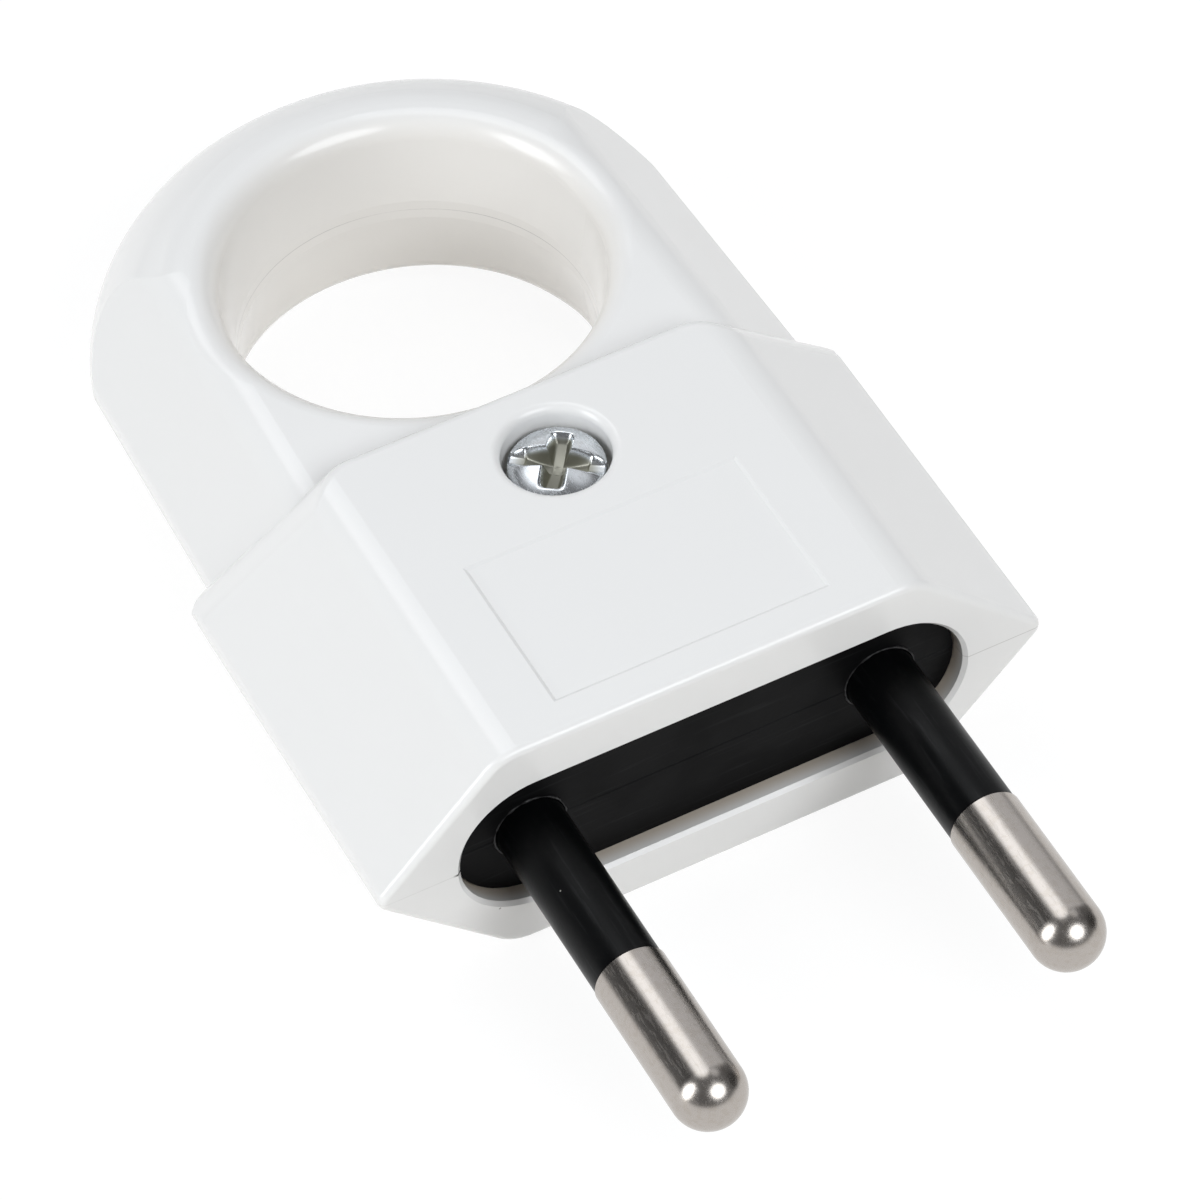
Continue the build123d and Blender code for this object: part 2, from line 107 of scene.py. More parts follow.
class Nodes:
    """Small helper that adds nodes to one tree, sets their sockets and links them."""

    def __init__(self, tree: bpy.types.NodeTree) -> None:
        """Keep the tree.

        Args:
            tree: Shader or geometry node tree to fill.
        """
        self.tree = tree

    def add(self, kind: str, sockets: dict[str | int, Any] | None = None, **settings: Any) -> bpy.types.Node:
        """Add a node.

        Args:
            kind: Blender's type name of the node.
            sockets: Values or output sockets for the node's inputs, by name or number.
            settings: Properties of the node itself, set before its inputs.

        Returns:
            The new node.
        """
        node = self.tree.nodes.new(kind)
        for key, value in settings.items():
            setattr(node, key, value)
        for key, value in (sockets or {}).items():
            if isinstance(value, bpy.types.NodeSocket):
                self.tree.links.new(value, node.inputs[key])
            else:
                node.inputs[key].default_value = value
        return node

    def math(self, operation: str, first: Any, second: Any = 0.0, clamp: bool = False) -> Socket:
        """Add a Math node.

        Args:
            operation: Name of the operation.
            first: First value or output socket.
            second: Second value or output socket.
            clamp: Keep the result between 0 and 1.

        Returns:
            The node's output.
        """
        sockets = {0: first, 1: second}
        return self.add("ShaderNodeMath", sockets, operation=operation, use_clamp=clamp).outputs[0]

    def vector(self, operation: str, first: Any, second: Any = (0.0, 0.0, 0.0)) -> bpy.types.Node:
        """Add a Vector Math node.

        Args:
            operation: Name of the operation.
            first: First vector or output socket.
            second: Second vector or output socket.

        Returns:
            The node.
        """
        return self.add("ShaderNodeVectorMath", {0: first, 1: second}, operation=operation)

    def ramp(self, value: Socket, start: float, end: float, low: float = 0.0, high: float = 1.0) -> Socket:
        """Map a value smoothly from one range to another.

        Args:
            value: Output socket to map.
            start: Value that gives the low result.
            end: Value that gives the high result.
            low: Result at the start.
            high: Result at the end.

        Returns:
            The mapped output.
        """
        sockets = {"Value": value, "From Min": start, "From Max": end, "To Min": low, "To Max": high}
        return self.add("ShaderNodeMapRange", sockets, interpolation_type="SMOOTHSTEP").outputs[0]

    def mix(self, factor: Any, first: Any, second: Any) -> Socket:
        """Mix two colours.

        Args:
            factor: Share of the second colour, as a value or an output socket.
            first: First colour or colour output.
            second: Second colour or colour output.

        Returns:
            The mixed colour output.
        """
        node = self.add("ShaderNodeMix", data_type="RGBA")
        for socket, value in ((node.inputs[0], factor), (node.inputs[6], first), (node.inputs[7], second)):
            if isinstance(value, bpy.types.NodeSocket):
                self.tree.links.new(value, socket)
            else:
                socket.default_value = rgba(value) if isinstance(value, tuple) else value
        return node.outputs[2]

    def axis_distance(self, place: Socket, axis: Point) -> Socket:
        """Distance from an upright axis.

        Args:
            place: Object coordinates.
            axis: X and Y of the axis, in metres.

        Returns:
            The distance output.
        """
        level = self.vector("MULTIPLY", place, (1.0, 1.0, 0.0))
        return self.vector("DISTANCE", level.outputs[0], (*axis, 0.0)).outputs["Value"]


def new_group(
    name: str, kind: str, inputs: dict[str, tuple[str, Any]], outputs: dict[str, str]
) -> tuple[Nodes, bpy.types.Node, bpy.types.Node]:
    """Make an empty node group with named sockets.

    Args:
        name: Name of the group.
        kind: Type of its tree.
        inputs: Socket type and default value of each input, by name.
        outputs: Socket type of each output, by name.

    Returns:
        The helper for the tree, its group input node and its group output node.
    """
    tree = bpy.data.node_groups.new(name, kind)
    for label, (socket_type, default) in inputs.items():
        socket = tree.interface.new_socket(label, in_out="INPUT", socket_type=socket_type)
        if default is not None:
            socket.default_value = default
    for label, socket_type in outputs.items():
        tree.interface.new_socket(label, in_out="OUTPUT", socket_type=socket_type)
    nodes = Nodes(tree)
    return nodes, nodes.add("NodeGroupInput"), nodes.add("NodeGroupOutput")


class SurfaceEffects:
    """Shader groups that several finishes share: skin, dust specks and fine scuffs."""

    def __init__(self) -> None:
        """Build the three groups once."""
        self.skin = self.moulded_skin()
        self.specks = self.dust_specks()
        self.scuffs = self.fine_scuffs()

    @staticmethod
    def moulded_skin() -> bpy.types.NodeTree:
        """Slow waves and fine grain of a moulded or plated skin.

        Returns:
            Group with a Height for a bump and a Tone between 0 and 1.
        """
        inputs = {
            "Vector": ("NodeSocketVector", None),
            "Wave": ("NodeSocketFloat", 90.0),
            "Grain": ("NodeSocketFloat", 2500.0),
            "Grain Share": ("NodeSocketFloat", 0.3),
        }
        outputs = {"Height": "NodeSocketFloat", "Tone": "NodeSocketFloat"}
        nodes, start, end = new_group("moulded_skin", "ShaderNodeTree", inputs, outputs)
        get = start.outputs
        coarse = {"Vector": get["Vector"], "Scale": get["Wave"], "Detail": 2.0}
        wave = nodes.add("ShaderNodeTexNoise", coarse)
        close = {"Vector": get["Vector"], "Scale": get["Grain"], "Detail": 3.0}
        grain = nodes.add("ShaderNodeTexNoise", close)
        fine = nodes.math("MULTIPLY", grain.outputs[0], get["Grain Share"])
        nodes.tree.links.new(nodes.math("ADD", wave.outputs[0], fine), end.inputs["Height"])
        nodes.tree.links.new(nodes.ramp(wave.outputs[0], 0.3, 0.7), end.inputs["Tone"])
        return nodes.tree

    @staticmethod
    def dust_specks() -> bpy.types.NodeTree:
        """Sparse round specks.

        Returns:
            Group with a Mask that is 1 on a speck.
        """
        inputs = {
            "Vector": ("NodeSocketVector", None),
            "Scale": ("NodeSocketFloat", 600.0),
            "Amount": ("NodeSocketFloat", 0.1),
            "Size": ("NodeSocketFloat", 0.12),
        }
        nodes, start, end = new_group("dust_specks", "ShaderNodeTree", inputs, {"Mask": "NodeSocketFloat"})
        get = start.outputs
        cells = nodes.add("ShaderNodeTexVoronoi", {"Vector": get["Vector"], "Scale": get["Scale"]})
        chance = nodes.add("ShaderNodeSeparateColor", {0: cells.outputs["Color"]})
        picked = nodes.math("LESS_THAN", chance.outputs[0], get["Amount"])
        radius = nodes.math("MULTIPLY", get["Size"], chance.outputs[1])
        near = nodes.math("LESS_THAN", cells.outputs["Distance"], radius)
        nodes.tree.links.new(nodes.math("MULTIPLY", picked, near), end.inputs["Mask"])
        return nodes.tree

    @staticmethod
    def fine_scuffs() -> bpy.types.NodeTree:
        """Fine marks that run along one direction.

        Returns:
            Group with a Mask between 0 and 1.
        """
        inputs = {
            "Vector": ("NodeSocketVector", None),
            "Stretch": ("NodeSocketVector", (1.0, 0.05, 1.0)),
            "Scale": ("NodeSocketFloat", 4000.0),
            "Edge": ("NodeSocketFloat", 0.6),
        }
        nodes, start, end = new_group("fine_scuffs", "ShaderNodeTree", inputs, {"Mask": "NodeSocketFloat"})
        get = start.outputs
        pulled = nodes.vector("MULTIPLY", get["Vector"], get["Stretch"])
        sockets = {"Vector": pulled.outputs[0], "Scale": get["Scale"], "Detail": 2.0}
        noise = nodes.add("ShaderNodeTexNoise", sockets)
        above = nodes.math("SUBTRACT", noise.outputs[0], get["Edge"])
        nodes.tree.links.new(nodes.ramp(above, 0.0, 0.15), end.inputs["Mask"])
        return nodes.tree


@dataclass(frozen=True)
class Finish:
    """What every finish has: a name, a colour and a roughness range."""

    name: str
    colour: Colour
    smooth: float
    dull: float

    def begin(self) -> tuple[bpy.types.Material, Nodes, bpy.types.Node, Socket]:
        """Start a node material.

        Returns:
            The material, its node helper, its Principled shader and its object coordinates.
        """
        material = bpy.data.materials.new(self.name)
        material.use_nodes = True
        nodes = Nodes(material.node_tree)
        shader = material.node_tree.nodes["Principled BSDF"]
        place = nodes.add("ShaderNodeTexCoord").outputs["Object"]
        return material, nodes, shader, place

    @staticmethod
    def group(nodes: Nodes, tree: bpy.types.NodeTree, place: Socket, **values: Any) -> bpy.types.Node:
        """Place a shared effect in a material and set its inputs.

        Args:
            nodes: Helper of the material's tree.
            tree: The effect's node group.
            place: Coordinates that the effect reads.
            values: Values for the group's other inputs, with _ for a space in a name.

        Returns:
            The group node.
        """
        sockets = {name.replace("_", " "): value for name, value in values.items()}
        return nodes.add("ShaderNodeGroup", {"Vector": place, **sockets}, node_tree=tree)

    @staticmethod
    def bump(nodes: Nodes, shader: bpy.types.Node, height: Socket, strength: float, depth: float) -> None:
        """Feed a height to the shader's normal.

        Args:
            nodes: Helper of the material's tree.
            shader: Principled shader.
            height: Height output.
            strength: Strength of the bump.
            depth: Depth of the bump in metres.
        """
        node = nodes.add("ShaderNodeBump", {"Strength": strength, "Distance": depth, "Height": height})
        nodes.tree.links.new(node.outputs[0], shader.inputs["Normal"])


@dataclass(frozen=True)
class GlossShell(Finish):
    """White moulded plastic with a faint parting line, painted warm shade in the bore, painted shade in the
    opening and a little dust.
    """

    tint: Colour = (0.82, 0.812, 0.80)
    dust: Colour = (0.42, 0.40, 0.37)
    seam: Colour = (0.42, 0.41, 0.39)
    seam_height: float = 7.0 * MM
    seam_width: float = 0.035 * MM
    # Painted warm shade: colour inside the bore that stands in for light bounced between its walls.
    painted_bore_warmth: Colour = (0.89, 0.866, 0.832)
    bore_axis: Point = (0.0, 17.305 * MM)
    bore_radius: float = 10.0 * MM
    # Painted shade: darker, warmer colour deep in the opening.
    painted_opening_shade: Colour = (0.60, 0.53, 0.45)
    pin_place: float = 9.5 * MM
    opening_radius: float = 4.45 * MM
    opening_depth: Point = (-14.85 * MM, -13.9 * MM)
    carrier_rear: float = -6.7 * MM
    nick: Colour = (0.03, 0.03, 0.03)
    nick_place: Triple = (-13.72 * MM, -14.8 * MM, 7.0 * MM)
    nick_reach: float = 0.45 * MM
    nick_width: float = 0.09 * MM

    def material(self, effects: SurfaceEffects) -> bpy.types.Material:
        """Build the material.

        Args:
            effects: Shared shader groups.

        Returns:
            The finished material.
        """
        material, nodes, shader, place = self.begin()
        skin = self.group(nodes, effects.skin, place, Wave=70.0, Grain=3200.0, Grain_Share=0.12)
        specks = self.group(nodes, effects.specks, place, Scale=420.0, Amount=0.03, Size=0.05)
        axes = nodes.add("ShaderNodeSeparateXYZ", {0: place}).outputs
        gap = nodes.math("ABSOLUTE", nodes.math("SUBTRACT", axes[2], self.seam_height))
        colour = nodes.mix(nodes.math("MULTIPLY", skin.outputs["Tone"], 0.15), self.colour, self.tint)
        # Painted warm shade: warmer colour towards and inside the bore.
        away = nodes.axis_distance(place, self.bore_axis)
        bore_warmth_share = nodes.ramp(away, 1.12 * self.bore_radius, 0.98 * self.bore_radius)
        colour = nodes.mix(bore_warmth_share, colour, self.painted_bore_warmth)
        # Painted shade: darker and warmer deeper in the opening in front of the carrier.
        colour = nodes.mix(self.painted_opening_shade_mask(nodes, axes, gap), colour, self.painted_opening_shade)
        colour = nodes.mix(self.seam_mask(nodes, gap, skin.outputs["Height"]), colour, self.seam)
        colour = nodes.mix(self.nick_mask(nodes, place, gap), colour, self.nick)
        links = nodes.tree.links
        links.new(nodes.mix(specks.outputs["Mask"], colour, self.dust), shader.inputs["Base Color"])
        rough = nodes.ramp(skin.outputs["Tone"], 0.0, 1.0, self.smooth, self.dull)
        links.new(rough, shader.inputs["Roughness"])
        shader.inputs["IOR"].default_value = 1.5
        self.bump(nodes, shader, skin.outputs["Height"], 0.01, 0.00002)
        return material

    def seam_mask(self, nodes: Nodes, gap: Socket, height: Socket) -> Socket:
        """Hairline on the parting plane that comes and goes along its run.

        Args:
            nodes: Helper of the material's tree.
            gap: Distance from the parting plane.
            height: Height of the moulded skin.

        Returns:
            Mask of the line.
        """
        line = nodes.ramp(gap, self.seam_width, 0.3 * self.seam_width)
        return nodes.math("MULTIPLY", line, nodes.ramp(height, 0.46, 0.68, 0.06, 0.6))

    def nick_mask(self, nodes: Nodes, place: Socket, gap: Socket) -> Socket:
        """Short stretch at the left end of the opening where the seam stands a little open.

        Args:
            nodes: Helper of the material's tree.
            place: Object coordinates.
            gap: Distance from the parting plane.

        Returns:
            Mask of that stretch.
        """
        away = nodes.vector("DISTANCE", place, self.nick_place).outputs["Value"]
        near = nodes.ramp(away, self.nick_reach, 0.3 * self.nick_reach)
        return nodes.math("MULTIPLY", near, nodes.ramp(gap, self.nick_width, 0.5 * self.nick_width))

    def painted_opening_shade_mask(self, nodes: Nodes, axes: Sequence[Socket], gap: Socket) -> Socket:
        """Painted shade on the wall of the opening in front of the carrier.

        Args:
            nodes: Helper of the material's tree.
            axes: Object coordinates, one by one.
            gap: Distance from the parting plane.

        Returns:
            Mask of the painted shade, which grows with the depth inside the opening.
        """
        past_pin = nodes.math("SUBTRACT", nodes.math("ABSOLUTE", axes[0]), self.pin_place)
        across = nodes.math("MAXIMUM", past_pin, 0.0)
        squares = nodes.math("ADD", nodes.math("MULTIPLY", across, across), nodes.math("MULTIPLY", gap, gap))
        inside = nodes.math("LESS_THAN", squares, self.opening_radius**2)
        inside = nodes.math("MULTIPLY", inside, nodes.math("LESS_THAN", axes[1], self.carrier_rear))
        return nodes.math("MULTIPLY", inside, nodes.ramp(axes[1], *self.opening_depth))


@dataclass(frozen=True)
class BlackMoulding(Finish):
    """Black moulded plastic with drawn scuffs and pale dust."""

    scuffed: Colour = (0.02, 0.0205, 0.0215)
    dust: Colour = (0.30, 0.29, 0.27)
    stretch: Triple = (1.0, 0.05, 1.0)
    scuff_share: float = 0.3
    speck_amount: float = 0.08
    reflection: float = 0.06

    def material(self, effects: SurfaceEffects) -> bpy.types.Material:
        """Build the material.

        Args:
            effects: Shared shader groups.

        Returns:
            The finished material.
        """
        material, nodes, shader, place = self.begin()
        skin = self.group(nodes, effects.skin, place, Wave=260.0, Grain=5200.0, Grain_Share=0.6)
        scuffs = self.group(nodes, effects.scuffs, place, Stretch=self.stretch, Scale=5200.0, Edge=0.58)
        specks = self.group(nodes, effects.specks, place, Scale=760.0, Amount=self.speck_amount, Size=0.09)
        share = nodes.math("MULTIPLY", scuffs.outputs["Mask"], self.scuff_share)
        marked = nodes.mix(share, self.colour, self.scuffed)
        links = nodes.tree.links
        links.new(nodes.mix(specks.outputs["Mask"], marked, self.dust), shader.inputs["Base Color"])
        rough = nodes.ramp(skin.outputs["Tone"], 0.0, 1.0, self.smooth, self.dull)
        links.new(rough, shader.inputs["Roughness"])
        shader.inputs["Specular IOR Level"].default_value = self.reflection
        self.bump(nodes, shader, skin.outputs["Height"], 0.18, 0.00004)
        return material


@dataclass(frozen=True)
class PlatedMetal(Finish):
    """Plated metal with a fine drawn grain and darker, yellower stains."""

    stain: Colour = (0.33, 0.28, 0.22)
    stain_share: float = 0.3
    stretch: Triple = (1.0, 0.12, 1.0)

    def material(self, effects: SurfaceEffects) -> bpy.types.Material:
        """Build the material.

        Args:
            effects: Shared shader groups.

        Returns:
            The finished material.
        """
        material, nodes, shader, place = self.begin()
        skin = self.group(nodes, effects.skin, place, Wave=3200.0, Grain=12000.0, Grain_Share=0.9)
        scuffs = self.group(nodes, effects.scuffs, place, Stretch=self.stretch, Scale=9000.0, Edge=0.5)
        stained = nodes.math("MULTIPLY", nodes.ramp(skin.outputs["Tone"], 0.45, 1.0), self.stain_share)
        colour = nodes.mix(stained, self.colour, self.stain)
        rough = nodes.ramp(scuffs.outputs["Mask"], 0.0, 1.0, self.smooth, self.dull)
        colour, rough = self.dulled(nodes, place, colour, rough)
        nodes.tree.links.new(colour, shader.inputs["Base Color"])
        nodes.tree.links.new(rough, shader.inputs["Roughness"])
        shader.inputs["Metallic"].default_value = 1.0
        self.bump(nodes, shader, skin.outputs["Height"], 0.02, 0.00002)
        return material

    def dulled(self, nodes: Nodes, place: Socket, colour: Socket, rough: Socket) -> tuple[Socket, Socket]:
        """Leave plain plate as it is."""
        return colour, rough


@dataclass(frozen=True)
class ScrewPlate(PlatedMetal):
    """Bright plate of the clamp screw, with the duller, tan plate that is left in its recess."""

    tan: Colour = (0.35, 0.345, 0.295)
    recess_rough: float = 0.42
    axis: Point = (0.0, 1.2547 * MM)
    dome_top: float = 13.6 * MM
    dome_drop: float = 0.6 * MM
    head_radius: float = 2.45 * MM

    def dulled(self, nodes: Nodes, place: Socket, colour: Socket, rough: Socket) -> tuple[Socket, Socket]:
        """Dull the plate below the dome of the head.

        Args:
            nodes: Helper of the material's tree.
            place: Object coordinates.
            colour: Colour of the bright plate.
            rough: Roughness of the bright plate.

        Returns:
            Colour and roughness with the recess.
        """
        share = nodes.math("DIVIDE", nodes.axis_distance(place, self.axis), self.head_radius)
        drop = nodes.math("MULTIPLY", nodes.math("MULTIPLY", share, share), self.dome_drop)
        height = nodes.add("ShaderNodeSeparateXYZ", {0: place}).outputs[2]
        depth = nodes.math("SUBTRACT", nodes.math("SUBTRACT", self.dome_top, drop), height)
        mask = nodes.ramp(depth, 0.14 * MM, 0.5 * MM)
        mixed = nodes.add("ShaderNodeMix", {0: mask, 2: rough, 3: self.recess_rough}, data_type="FLOAT")
        return nodes.mix(mask, colour, self.tan), mixed.outputs[0]


@dataclass(frozen=True)
class FloorPaper(Finish):
    """Pale studio paper that bounces warm light, and shows as white with a soft shadow."""

    shade: Colour = (0.86, 0.85, 0.83)
    shown: Colour = (0.16, 0.16, 0.16)
    lift: float = 0.88

    def material(self, effects: SurfaceEffects) -> bpy.types.Material:
        """Build the material.

        Args:
            effects: Shared shader groups.

        Returns:
            The finished material.
        """
        material, nodes, shader, place = self.begin()
        skin = self.group(nodes, effects.skin, place, Wave=6.0, Grain=900.0, Grain_Share=0.2)
        path = nodes.add("ShaderNodeLightPath").outputs
        seen = nodes.math("ADD", path["Is Camera Ray"], path["Is Glossy Ray"], clamp=True)
        seen = nodes.math("ADD", seen, path["Is Transmission Ray"], clamp=True)
        paper = nodes.mix(nodes.math("MULTIPLY", skin.outputs["Tone"], 0.03), self.colour, self.shade)
        links = nodes.tree.links
        links.new(nodes.mix(seen, paper, self.shown), shader.inputs["Base Color"])
        rough = nodes.ramp(skin.outputs["Tone"], 0.0, 1.0, self.smooth, self.dull)
        links.new(rough, shader.inputs["Roughness"])
        shader.inputs["Specular IOR Level"].default_value = 0.0
        shader.inputs["Emission Color"].default_value = rgba((1.0, 1.0, 1.0))
        links.new(nodes.math("MULTIPLY", seen, self.lift), shader.inputs["Emission Strength"])
        return material


class Pieces:
    """What every finished piece goes through."""

    @staticmethod
    def link(name: str, mesh: bpy.types.Mesh) -> bpy.types.Object:
        """Put a mesh in the scene at the origin.

        Args:
            name: Name of the piece.
            mesh: Its mesh, already in place.

        Returns:
            The new object.
        """
        mesh.name = name
        piece = bpy.data.objects.new(name, mesh)
        bpy.context.scene.collection.objects.link(piece)
        return piece

    @staticmethod
    def baked(source: bpy.types.Object) -> bpy.types.Mesh:
        """Plain mesh of what an object's modifiers make.

        Args:
            source: Object with live modifiers.

        Returns:
            The new mesh.
        """
        graph = bpy.context.evaluated_depsgraph_get()
        return bpy.data.meshes.new_from_object(source.evaluated_get(graph), depsgraph=graph)

    @staticmethod
    def shade(piece: bpy.types.Object, angle: float) -> None:
        """Shade a piece smooth up to an angle, with the large flat faces kept flat.

        Args:
            piece: Piece to shade.
            angle: Sharpest smooth edge, in degrees.
        """
        piece.data.shade_smooth()
        piece.data.set_sharp_from_angle(angle=math.radians(angle))
        weighted = piece.modifiers.new("flat_faces", "WEIGHTED_NORMAL")
        weighted.weight = 80
        weighted.keep_sharp = True
        old, mesh = piece.data, Pieces.baked(piece)
        piece.modifiers.clear()
        mesh.name = piece.name
        piece.data = mesh
        bpy.data.meshes.remove(old)

    @staticmethod
    def coat(node: bpy.types.Object, material: bpy.types.Material) -> None:
        """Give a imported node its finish.

        Args:
            node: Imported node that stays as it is.
            material: Its finish.
        """
        for slot in node.material_slots:
            slot.material = material
        LOG.info("%s: packed solid, %d faces, %s", node.name, len(node.data.polygons), material.name)

    @staticmethod
    def dress(
        piece: bpy.types.Object, material: bpy.types.Material, slot: Slot, nodes: Iterable[str]
    ) -> None:
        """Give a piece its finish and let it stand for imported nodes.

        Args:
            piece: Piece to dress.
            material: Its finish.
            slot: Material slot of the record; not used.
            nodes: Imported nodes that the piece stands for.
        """
        piece.data.materials.clear()
        piece.data.materials.append(material)
        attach(piece, "root")
        for node in nodes:
            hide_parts(node)
        LOG.info("%s: new piece, %d faces, %s", piece.name, len(piece.data.polygons), material.name)


@dataclass
class Housing:
    """The two white half shells."""

    nodes: dict[str, bpy.types.Object]

    def dress(self, plastic: bpy.types.Material) -> None:
        """Give both shells their finish.

        Args:
            plastic: White plastic.
        """
        for half in Half:
            Pieces.coat(self.nodes[f"{half.value}_shell"], plastic)


class PairTree:
    """Geometry Nodes tree that makes one form and sets a copy of it on each pin axis."""

    def __init__(self, name: str, inputs: dict[str, tuple[str, Any]]) -> None:
        """Start the tree with the inputs that every pair has.

        Args:
            name: Name of the tree.
            inputs: Further inputs by name.
        """
        common = {
            "Geometry": ("NodeSocketGeometry", None),
            "Spacing": ("NodeSocketFloat", 19.0 * MM),
            "Front": ("NodeSocketFloat", 0.0),
            "Height": ("NodeSocketFloat", 0.0),
            "Material": ("NodeSocketMaterial", None),
        }
        outputs = {"Geometry": "NodeSocketGeometry"}
        self.nodes, start, self.end = new_group(name, "GeometryNodeTree", {**common, **inputs}, outputs)
        self.get = start.outputs
        self.finish_pair(self.form())

    def form(self) -> Socket:
        """Form of one piece about the Y axis; each kind of pair has its own."""
        return self.get["Geometry"]

    def finish_pair(self, form: Socket) -> None:
        """Set the form on both axes, make it real and give it its material.

        Args:
            form: Geometry of one piece.
        """
        nodes, get = self.nodes, self.get
        half = nodes.math("MULTIPLY", get["Spacing"], -0.5)
        first = nodes.add("ShaderNodeCombineXYZ", {"X": half, "Y": get["Front"], "Z": get["Height"]})
        step = nodes.add("ShaderNodeCombineXYZ", {"X": get["Spacing"]})
        line = {"Count": 2, "Start Location": first.outputs[0], "Offset": step.outputs[0]}
        places = nodes.add("GeometryNodeMeshLine", line)
        both = nodes.add("GeometryNodeInstanceOnPoints", {"Points": places.outputs[0], "Instance": form})
        real = nodes.add("GeometryNodeRealizeInstances", {"Geometry": self.varied(both.outputs[0])})
        coated = {"Geometry": real.outputs[0], "Material": get["Material"]}
        dressed = nodes.add("GeometryNodeSetMaterial", coated)
        nodes.tree.links.new(dressed.outputs[0], self.end.inputs[0])

    def varied(self, copies: Socket) -> Socket:
        """Leave the two copies alike."""
        return copies

    def make(
        self, name: str, profile: Sequence[Point], closed: bool, settings: dict[str, Any]
    ) -> bpy.types.Object:
        """Make a pair from a drawn profile.

        Args:
            name: Name of the piece.
            profile: Radius and place along the axis of each point, in metres.
            closed: Whether the profile runs back to its first point.
            settings: Values of the tree's inputs by name.

        Returns:
            The finished mesh object.
        """
        curve = bpy.data.curves.new(name + "_profile", "CURVE")
        curve.dimensions = "3D"
        spline = curve.splines.new("POLY")
        spline.points.add(len(profile) - 1)
        for point, (radius, along) in zip(spline.points, profile):
            point.co = (radius, along, 0.0, 1.0)
        spline.use_cyclic_u = closed
        drawn = bpy.data.objects.new(name + "_profile", curve)
        bpy.context.scene.collection.objects.link(drawn)
        modifier = drawn.modifiers.new("pair", "NODES")
        modifier.node_group = self.nodes.tree
        for socket in self.nodes.tree.interface.items_tree:
            if socket.in_out == "INPUT" and socket.name in settings:
                modifier[socket.identifier] = settings[socket.name]
        mesh = Pieces.baked(drawn)
        bpy.data.objects.remove(drawn)
        bpy.data.curves.remove(curve)
        return Pieces.link(name, mesh)


class TurnedPair(PairTree):
    """Profile turned about a pin axis, with a flat and an upright hole cut where they are asked for."""

    PATH_RADIUS = 1.0 * MM
    WELD = 0.0004 * MM

    def __init__(self) -> None:
        """Build the tree with the sizes of the turning and of the cuts."""
        inputs = {
            "Sides": ("NodeSocketInt", 96),
            "Cut": ("NodeSocketBool", False),
            "Flat Size": ("NodeSocketVector", (6.0 * MM, 7.2 * MM, 1.0 * MM)),
            "Flat Place": ("NodeSocketVector", (0.0, 0.0, 0.0)),
            "Hole Radius": ("NodeSocketFloat", 1.0 * MM),
            "Hole Depth": ("NodeSocketFloat", 3.0 * MM),
            "Hole Place": ("NodeSocketVector", (0.0, 0.0, 0.0)),
        }
        super().__init__("turned_pair", inputs)

    def form(self) -> Socket:
        """Turn the profile and cut it.

        Returns:
            Geometry of one turned piece along Y.
        """
        nodes, get = self.nodes, self.get
        moved = {"Geometry": get["Geometry"], "Offset": (-self.PATH_RADIUS, 0.0, 0.0)}
        profile = nodes.add("GeometryNodeSetPosition", moved)
        circle = {"Resolution": get["Sides"], "Radius": self.PATH_RADIUS}
        path = nodes.add("GeometryNodeCurvePrimitiveCircle", circle)
        swept = {"Curve": path.outputs[0], "Profile Curve": profile.outputs[0]}
        turned = nodes.add("GeometryNodeCurveToMesh", swept)
        laid = {"Geometry": self.welded(turned.outputs[0]), "Rotation": (math.pi / 2, 0.0, 0.0)}
        rod = nodes.add("GeometryNodeTransform", laid).outputs[0]
        box = nodes.add("GeometryNodeMeshCube", {"Size": get["Flat Size"]})
        flat = self.moved(box.outputs[0], get["Flat Place"])
        round_bar = {"Vertices": 48, "Radius": get["Hole Radius"], "Depth": get["Hole Depth"]}
        drill = nodes.add("GeometryNodeMeshCylinder", round_bar)
        hole = self.moved(drill.outputs[0], get["Hole Place"])
        cut = nodes.add("GeometryNodeMeshBoolean", {"Mesh 1": rod}, operation="DIFFERENCE", solver="EXACT")
        for cutter in (flat, hole):
            nodes.tree.links.new(cutter, cut.inputs["Mesh 2"])
        choice = nodes.add("GeometryNodeSwitch", input_type="GEOMETRY")
        for key, socket in (("Switch", get["Cut"]), ("False", rod), ("True", self.welded(cut.outputs[0]))):
            nodes.tree.links.new(socket, choice.inputs[key])
        return choice.outputs[0]

    def welded(self, geometry: Socket) -> Socket:
        """Join the points that fall together."""
        sockets = {"Geometry": geometry, "Distance": self.WELD}
        return self.nodes.add("GeometryNodeMergeByDistance", sockets).outputs[0]

    def moved(self, geometry: Socket, place: Socket) -> Socket:
        """Shift a cutter to its place."""
        sockets = {"Geometry": geometry, "Translation": place}
        return self.nodes.add("GeometryNodeTransform", sockets).outputs[0]


